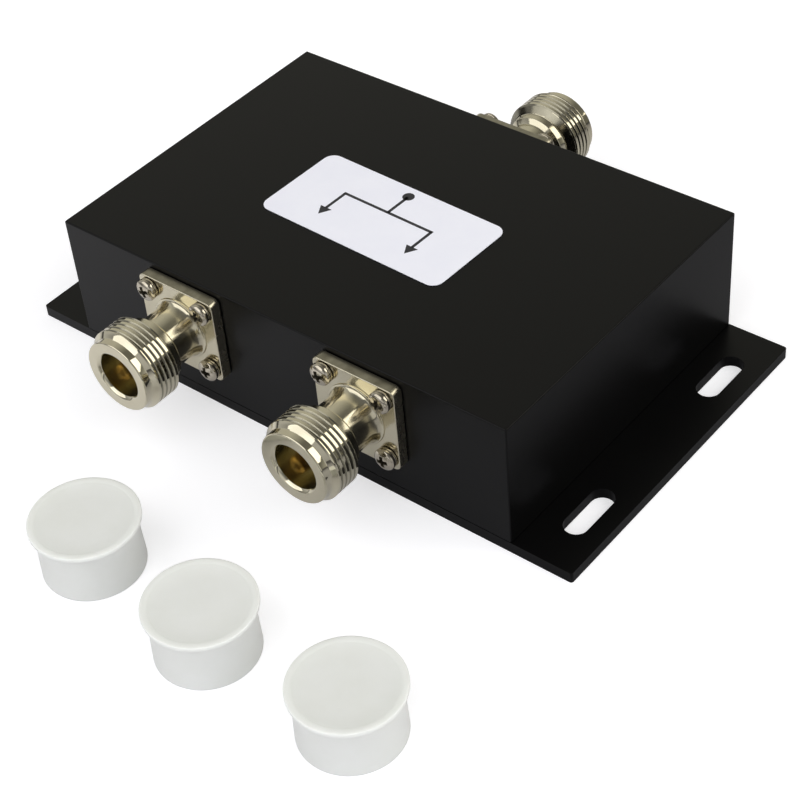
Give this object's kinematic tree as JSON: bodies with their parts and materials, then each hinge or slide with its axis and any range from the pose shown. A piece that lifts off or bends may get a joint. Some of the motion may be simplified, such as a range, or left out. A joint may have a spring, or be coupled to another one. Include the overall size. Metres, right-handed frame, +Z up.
{
  "type": "rf power splitter",
  "caption": "Two-way RF power splitter: black housing on a slotted base plate, threaded coaxial jacks front and back, push-on dust caps beside it.",
  "frame": {"origin": "middle of the base plate's underside", "axes": "+X along the front face to the right, +Y to the back, where the input jack is, +Z up, out of the labelled top"},
  "size_m": [0.1244, 0.1412, 0.0279],
  "materials": {
    "painted_case": "satin black powder coat",
    "nickel_jack": "bright nickel plate",
    "zinc_screws": "nickel-plated steel",
    "gold_contact": "gold-plated bronze",
    "jack_insulator": "white fluoropolymer",
    "board_laminate": "glass-cloth laminate",
    "tinned_tracks": "tinned copper foil",
    "resistor_body": "dark glazed ceramic",
    "label_film": "satin white self-adhesive film",
    "cap_plastic": "natural milky polyethylene"
  },
  "bodies": {
    "root": {"housing": "painted_case", "base_plate": "painted_case", "circuit_board": "board_laminate", "microstrip_tracks": "tinned_tracks", "isolation_resistor": "resistor_body", "label": "label_film", "output_1_jack_body": "nickel_jack", "output_1_insulator": "jack_insulator", "output_1_centre_contact": "gold_contact", "output_1_spring_washer_1": "zinc_screws", "output_1_flange_screw_1": "zinc_screws", "output_1_spring_washer_2": "zinc_screws", "output_1_flange_screw_2": "zinc_screws", "output_1_spring_washer_3": "zinc_screws", "output_1_flange_screw_3": "zinc_screws", "output_1_spring_washer_4": "zinc_screws", "output_1_flange_screw_4": "zinc_screws", "output_2_jack_body": "nickel_jack", "output_2_insulator": "jack_insulator", "output_2_centre_contact": "gold_contact", "output_2_spring_washer_1": "zinc_screws", "output_2_flange_screw_1": "zinc_screws", "output_2_spring_washer_2": "zinc_screws", "output_2_flange_screw_2": "zinc_screws", "output_2_spring_washer_3": "zinc_screws", "output_2_flange_screw_3": "zinc_screws", "output_2_spring_washer_4": "zinc_screws", "output_2_flange_screw_4": "zinc_screws", "input_jack_body": "nickel_jack", "input_insulator": "jack_insulator", "input_centre_contact": "gold_contact", "input_spring_washer_1": "zinc_screws", "input_flange_screw_1": "zinc_screws", "input_spring_washer_2": "zinc_screws", "input_flange_screw_2": "zinc_screws", "input_spring_washer_3": "zinc_screws", "input_flange_screw_3": "zinc_screws", "input_spring_washer_4": "zinc_screws", "input_flange_screw_4": "zinc_screws", "base_screw_1": "zinc_screws", "base_screw_2": "zinc_screws", "base_screw_3": "zinc_screws", "base_screw_4": "zinc_screws", "base_screw_5": "zinc_screws", "base_screw_6": "zinc_screws", "board_screw_1": "zinc_screws", "board_screw_2": "zinc_screws", "board_screw_3": "zinc_screws", "board_screw_4": "zinc_screws", "board_screw_5": "zinc_screws", "dust_cap_1": "cap_plastic", "dust_cap_2": "cap_plastic", "dust_cap_3": "cap_plastic"}
  },
  "joints": []
}
